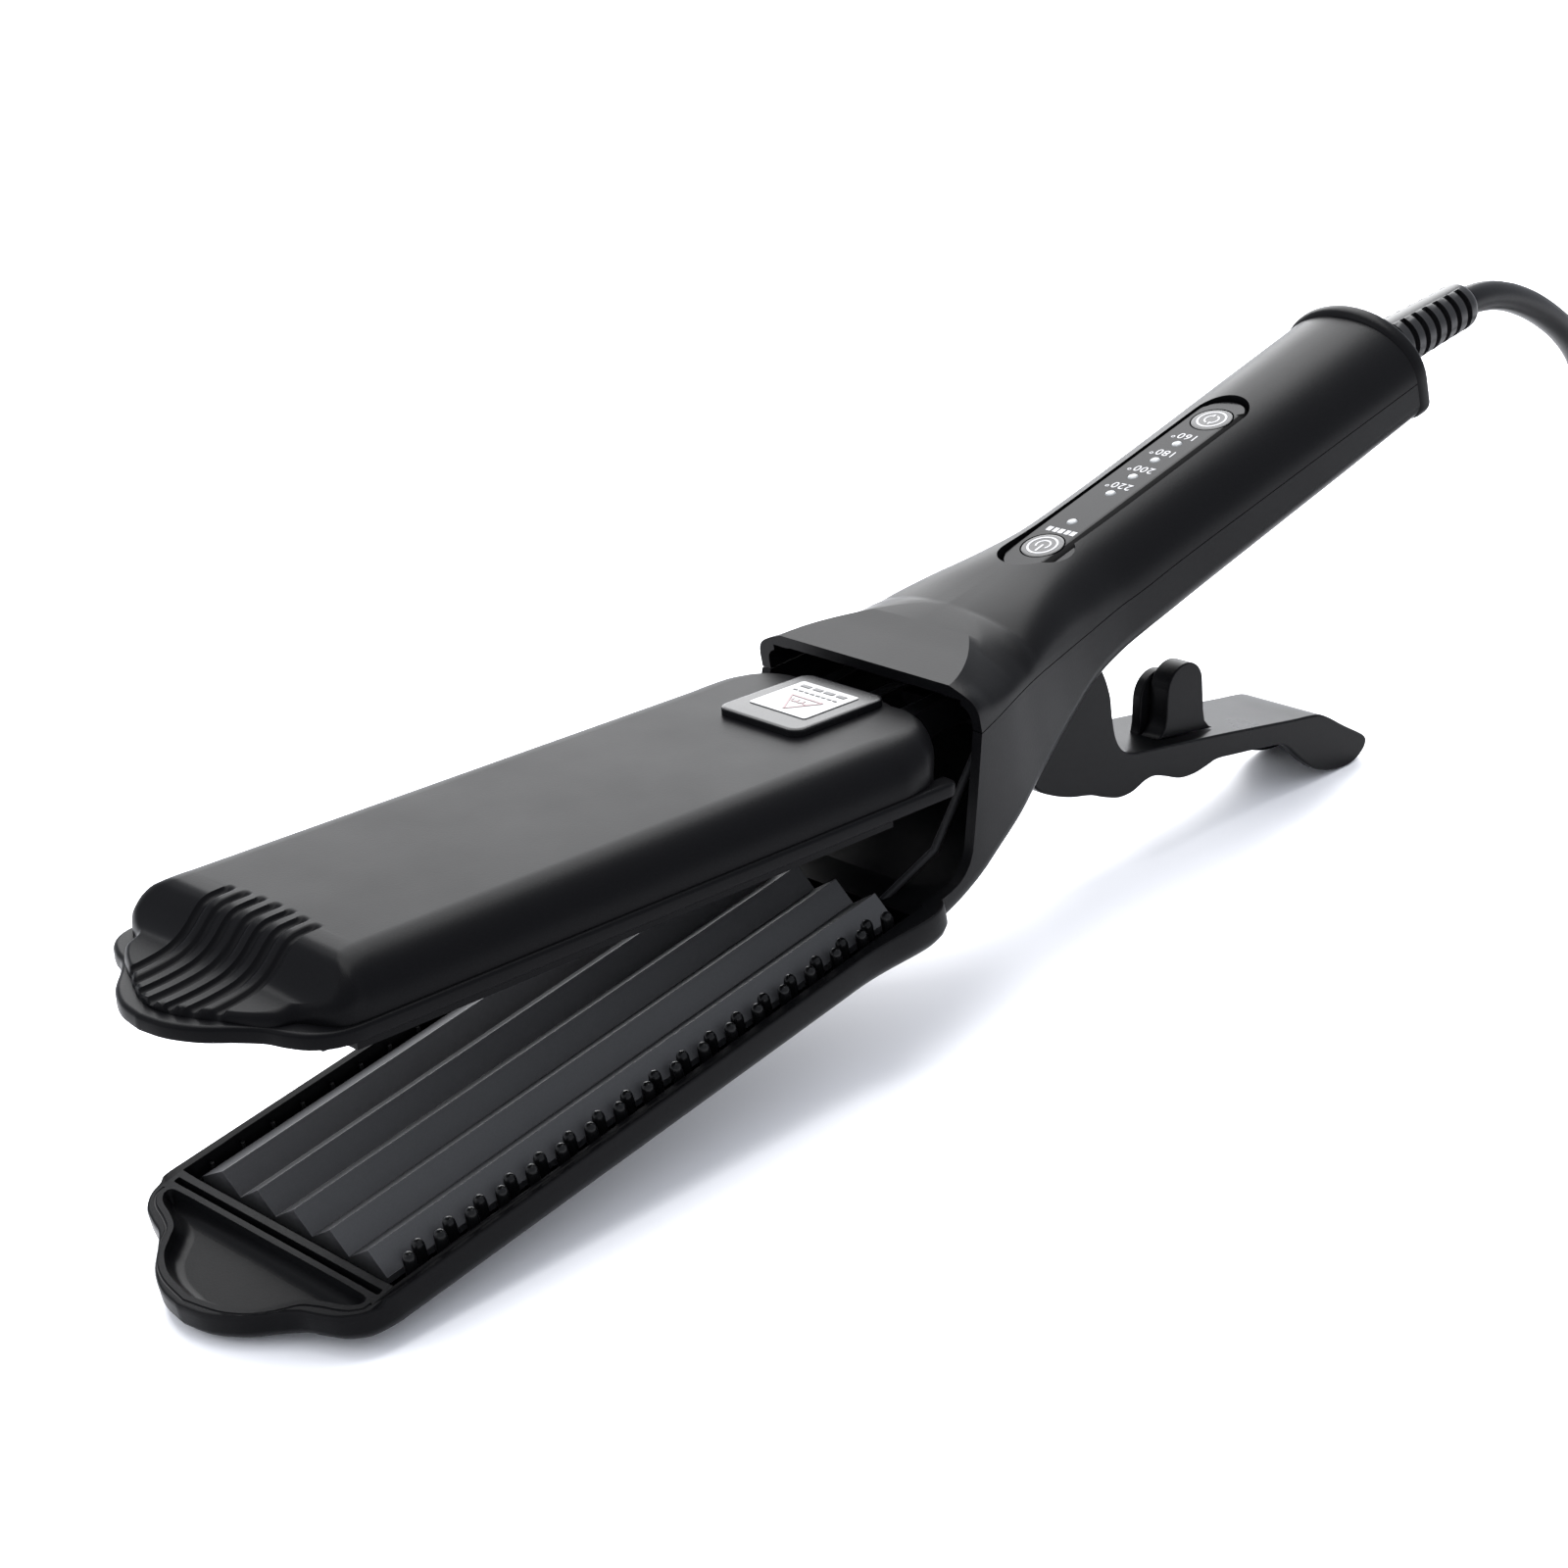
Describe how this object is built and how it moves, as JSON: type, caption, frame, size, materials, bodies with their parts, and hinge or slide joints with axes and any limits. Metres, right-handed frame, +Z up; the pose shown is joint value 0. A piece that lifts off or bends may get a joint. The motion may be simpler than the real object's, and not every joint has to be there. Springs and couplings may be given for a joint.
{
  "type": "hair crimper",
  "caption": "Hand-held hair crimper with ridged heated plates, a comb edge, a sprung upper jaw worked by a squeeze lever, a control strip and a mains cord.",
  "frame": {"origin": "on the table under the middle of the tool, without its loose cord", "axes": "+X along the tool from the jaws towards the cord, +Y to the far side, +Z up from the table"},
  "size_m": [0.5241, 0.106, 0.0956],
  "materials": {
    "housing_black": "satin moulded black plastic",
    "cover_black": "soft satin black plastic",
    "panel_gloss": "glossy black plastic",
    "button_black": "satin black button",
    "led_clear": "milky clear plastic",
    "board_green": "circuit board with solder mask",
    "lead_black": "black sheathed lead",
    "clamp_grey": "dark grey nylon",
    "screw_steel": "zinc plated steel",
    "plate_ceramic": "ceramic coated aluminium, dark grey",
    "heater_ceramic": "ceramic heating element in foil",
    "mica": "mica sheet",
    "fuse_metal": "tinned metal",
    "wire_black": "silicone insulated wire",
    "comb_black": "heat resistant black nylon",
    "pin_steel": "ground steel",
    "spring_steel": "spring steel",
    "pad_black": "smooth black plastic",
    "label_white": "printed white film",
    "lever_black": "satin moulded black plastic",
    "cord_black": "black PVC cord",
    "tie_black": "black strap",
    "plug_black": "moulded black PVC",
    "blade_nickel": "nickel plated brass"
  },
  "bodies": {
    "handle_and_lower_jaw": {"lower_housing": "housing_black", "upper_shell": "housing_black", "end_cap": "housing_black", "strain_relief": "plug_black", "panel": "panel_gloss", "led_row": "led_clear", "circuit_board": "board_green", "inner_lead": "lead_black", "cord_clamp": "clamp_grey", "shell_screws": "screw_steel", "lower_plate": "plate_ceramic", "lower_heater": "heater_ceramic", "lower_insulator": "mica", "thermal_fuse": "fuse_metal", "lower_leads": "wire_black", "comb_near": "comb_black", "comb_far": "comb_black", "plate_screws": "screw_steel", "pivot_pin": "pin_steel", "torsion_spring": "spring_steel", "cord": "cord_black", "cord_coil": "cord_black", "coil_tie": "tie_black", "plug_body": "plug_black", "plug_blades": "blade_nickel", "plug_relief": "plug_black"},
    "upper_jaw_and_lever": {"upper_cover": "cover_black", "jaw_arm": "cover_black", "upper_plate": "plate_ceramic", "upper_heater": "heater_ceramic", "upper_insulator": "mica", "upper_leads": "wire_black", "jaw_screws": "screw_steel", "label_pad": "pad_black", "label": "label_white", "squeeze_lever": "lever_black", "finger_tabs": "lever_black", "lever_screws": "screw_steel"},
    "power_button": {"power_button": "button_black"},
    "temperature_button": {"temperature_button": "button_black"}
  },
  "joints": [
    {"name": "jaw_hinge", "type": "hinge", "parent": "handle_and_lower_jaw", "child": "upper_jaw_and_lever", "pos_m": [0.03209, 0, 0.05375], "axis": [0, -1, 0], "range_deg": [0, 11.3], "stiffness_Nm_per_rad": 1, "springref_deg": -25.78},
    {"name": "power_press", "type": "slide", "parent": "handle_and_lower_jaw", "child": "power_button", "axis": [0.2198, 0, -0.9755], "range_m": [0, 0.0005], "stiffness_N_per_m": 600, "springref_m": -0.0006},
    {"name": "temperature_press", "type": "slide", "parent": "handle_and_lower_jaw", "child": "temperature_button", "axis": [0.2198, 0, -0.9755], "range_m": [0, 0.0005], "stiffness_N_per_m": 600, "springref_m": -0.0006}
  ]
}
